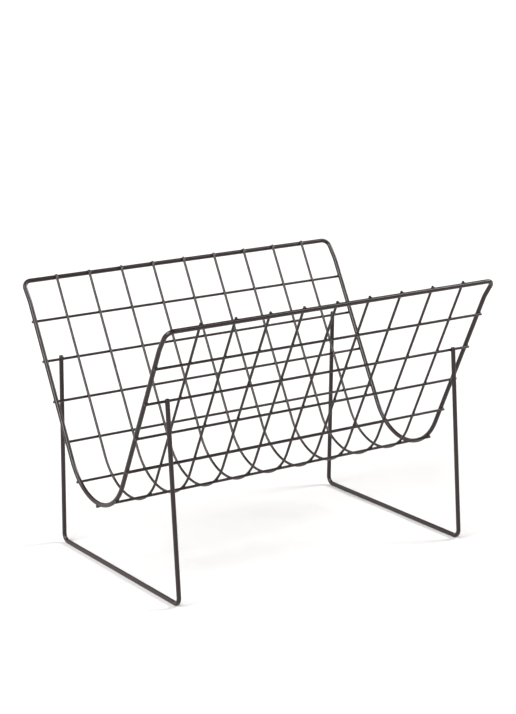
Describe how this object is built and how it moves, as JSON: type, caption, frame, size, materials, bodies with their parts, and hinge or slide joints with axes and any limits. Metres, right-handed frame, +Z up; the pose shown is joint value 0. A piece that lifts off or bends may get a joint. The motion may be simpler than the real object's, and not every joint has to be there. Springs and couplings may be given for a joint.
{
  "type": "magazine rack",
  "caption": "Open wire magazine rack: a wire grid trough with a round bottom and flared sides in a thick wire rim, held up on two wire leg frames.",
  "frame": {"origin": "middle of the bounding box's bottom face, on the floor between the two leg frames", "axes": "+Z up, +X along the trough and its long wires, -Y the front of the rack"},
  "size_m": [0.4028, 0.3102, 0.2945],
  "materials": {
    "painted_wire": "satin powder coat"
  },
  "bodies": {
    "root": {"cross_wire_1": "painted_wire", "cross_wire_2": "painted_wire", "cross_wire_3": "painted_wire", "cross_wire_4": "painted_wire", "cross_wire_5": "painted_wire", "cross_wire_6": "painted_wire", "cross_wire_7": "painted_wire", "cross_wire_8": "painted_wire", "cross_wire_9": "painted_wire", "leg_frame_left": "painted_wire", "leg_frame_right": "painted_wire", "long_wire_back_1": "painted_wire", "long_wire_back_2": "painted_wire", "long_wire_back_3": "painted_wire", "long_wire_back_4": "painted_wire", "long_wire_back_5": "painted_wire", "long_wire_bottom": "painted_wire", "long_wire_front_1": "painted_wire", "long_wire_front_2": "painted_wire", "long_wire_front_3": "painted_wire", "long_wire_front_4": "painted_wire", "long_wire_front_5": "painted_wire", "rim_frame": "painted_wire"}
  },
  "joints": []
}
